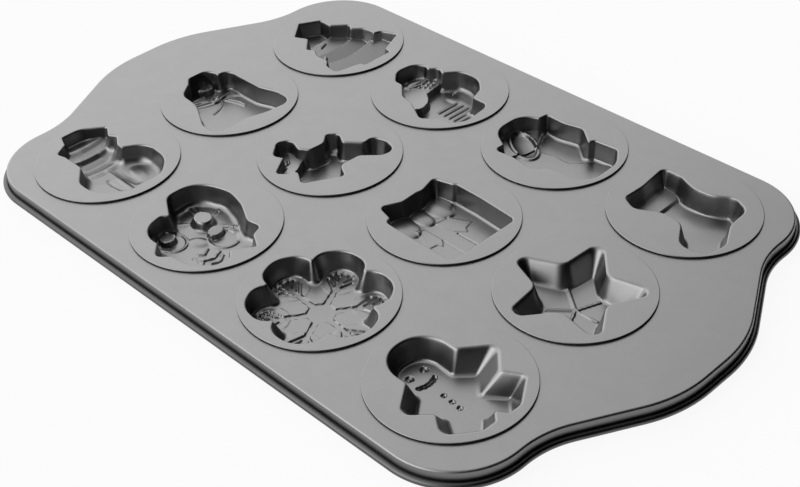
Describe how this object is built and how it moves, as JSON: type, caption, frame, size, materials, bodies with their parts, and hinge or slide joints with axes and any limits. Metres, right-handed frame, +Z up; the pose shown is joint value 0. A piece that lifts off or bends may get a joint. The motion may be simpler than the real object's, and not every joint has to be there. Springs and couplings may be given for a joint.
{
  "type": "christmas cake mold",
  "caption": "Shallow metal baking pan: a sheet tray with wide end grips and a rim rolled round a wire, holding round pressed cups that are cake moulds shaped like Christmas figures.",
  "frame": {"origin": "on the resting surface, below the middle of the pan", "axes": "+X along the rows of cups towards the grip beyond the gingerbread, star and stocking cups, +Y across the pan from the snowman row to the tree row, +Z up out of the cavities"},
  "size_m": [0.4292, 0.2778, 0.0134],
  "materials": {
    "tray": "satin grey non-stick coating on sheet steel",
    "rim_wire": "plain drawn wire",
    "cup_snowman": "satin grey non-stick coating on sheet steel",
    "cup_wreath": "satin grey non-stick coating on sheet steel",
    "cup_snowflake": "satin grey non-stick coating on sheet steel",
    "cup_gingerbread": "satin grey non-stick coating on sheet steel",
    "cup_bell": "satin grey non-stick coating on sheet steel",
    "cup_reindeer": "satin grey non-stick coating on sheet steel",
    "cup_present": "satin grey non-stick coating on sheet steel",
    "cup_star": "satin grey non-stick coating on sheet steel",
    "cup_tree": "satin grey non-stick coating on sheet steel",
    "cup_santa": "satin grey non-stick coating on sheet steel",
    "cup_angel": "satin grey non-stick coating on sheet steel",
    "cup_stocking": "satin grey non-stick coating on sheet steel"
  },
  "bodies": {
    "root": {"tray": "tray", "rim_wire": "rim_wire", "cup_snowman": "cup_snowman", "cup_wreath": "cup_wreath", "cup_snowflake": "cup_snowflake", "cup_gingerbread": "cup_gingerbread", "cup_bell": "cup_bell", "cup_reindeer": "cup_reindeer", "cup_present": "cup_present", "cup_star": "cup_star", "cup_tree": "cup_tree", "cup_santa": "cup_santa", "cup_angel": "cup_angel", "cup_stocking": "cup_stocking"}
  },
  "joints": []
}
